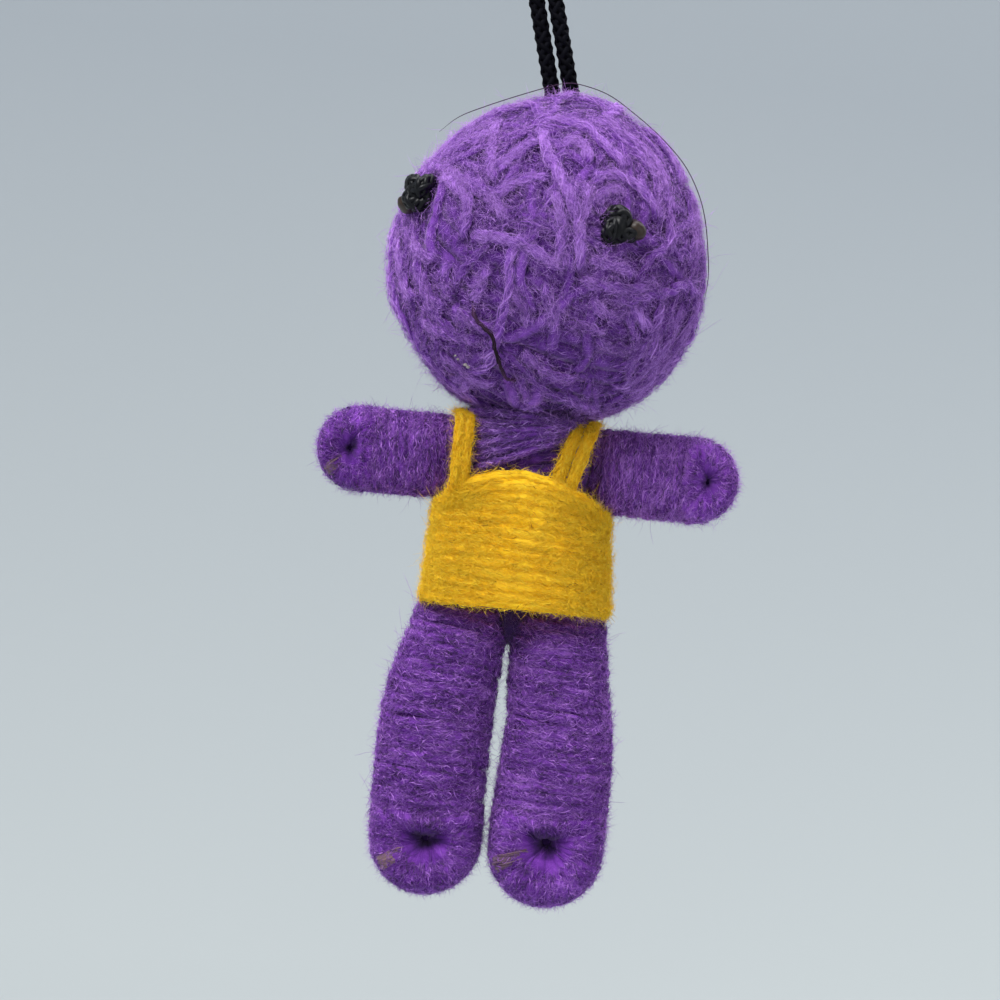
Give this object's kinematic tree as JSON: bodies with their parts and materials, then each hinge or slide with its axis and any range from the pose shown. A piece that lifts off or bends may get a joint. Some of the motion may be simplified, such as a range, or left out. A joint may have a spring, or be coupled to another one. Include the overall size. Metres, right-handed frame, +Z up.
{
  "type": "voodoo doll charm",
  "caption": "Wound-yarn doll charm with a round yarn head, knotted-cord eyes and wire-cored limbs that bend, hung from a loop of thin cord.",
  "frame": {"origin": "inside crest of the cord loop, where a hook or finger holds the charm", "axes": "+Z up along the hanging doll, -Y the way the doll faces, +X the doll's own left"},
  "size_m": [0.0384, 0.0296, 0.107],
  "materials": {
    "purple_yarn": "matte",
    "yellow_yarn": "matte",
    "black_cord": "satin",
    "eye_knot": "satin",
    "dark_thread": "matte",
    "steel_wire": "satin"
  },
  "bodies": {
    "cord": {"hanging_cord": "black_cord"},
    "head": {"cord_knot": "black_cord", "head_core": "purple_yarn", "head_winding": "purple_yarn", "eye_knot_right": "eye_knot", "eye_knot_left": "eye_knot", "face_thread": "dark_thread"},
    "torso": {"neck_wire": "steel_wire", "torso_core": "purple_yarn", "torso_winding": "yellow_yarn", "strap_right": "yellow_yarn", "strap_left": "yellow_yarn", "shoulder_wire": "steel_wire", "hip_wire": "steel_wire"},
    "arm_right": {"arm_core_right": "purple_yarn", "arm_wire_right": "steel_wire", "arm_winding_right": "purple_yarn"},
    "arm_left": {"arm_core_left": "purple_yarn", "arm_wire_left": "steel_wire", "arm_winding_left": "purple_yarn"},
    "leg_right": {"leg_core_right": "purple_yarn", "leg_wire_right": "steel_wire", "leg_winding_right": "purple_yarn"},
    "leg_left": {"leg_core_left": "purple_yarn", "leg_wire_left": "steel_wire", "leg_winding_left": "purple_yarn"}
  },
  "joints": [
    {"name": "doll_swing", "type": "hinge", "parent": "cord", "child": "head", "pos_m": [0, 0, -0.032], "axis": [1, 0, 0], "range_deg": [-75, 75]},
    {"name": "head_turn", "type": "hinge", "parent": "head", "child": "torso", "pos_m": [0, 0, -0.06015], "axis": [0, 0, 1], "range_deg": [-45, 45]},
    {"name": "arm_bend_right", "type": "hinge", "parent": "torso", "child": "arm_right", "pos_m": [-0.00895, 0, -0.06595], "axis": [0, 0, 1], "range_deg": [-60, 75]},
    {"name": "arm_bend_left", "type": "hinge", "parent": "torso", "child": "arm_left", "pos_m": [0.00895, 0, -0.06595], "axis": [0, 0, -1], "range_deg": [-60, 75]},
    {"name": "leg_bend_right", "type": "hinge", "parent": "torso", "child": "leg_right", "pos_m": [-0.00495, 0, -0.08295], "axis": [-1, 0, 0], "range_deg": [-35, 75]},
    {"name": "leg_bend_left", "type": "hinge", "parent": "torso", "child": "leg_left", "pos_m": [0.00495, 0, -0.08295], "axis": [-1, 0, 0], "range_deg": [-35, 75]}
  ]
}
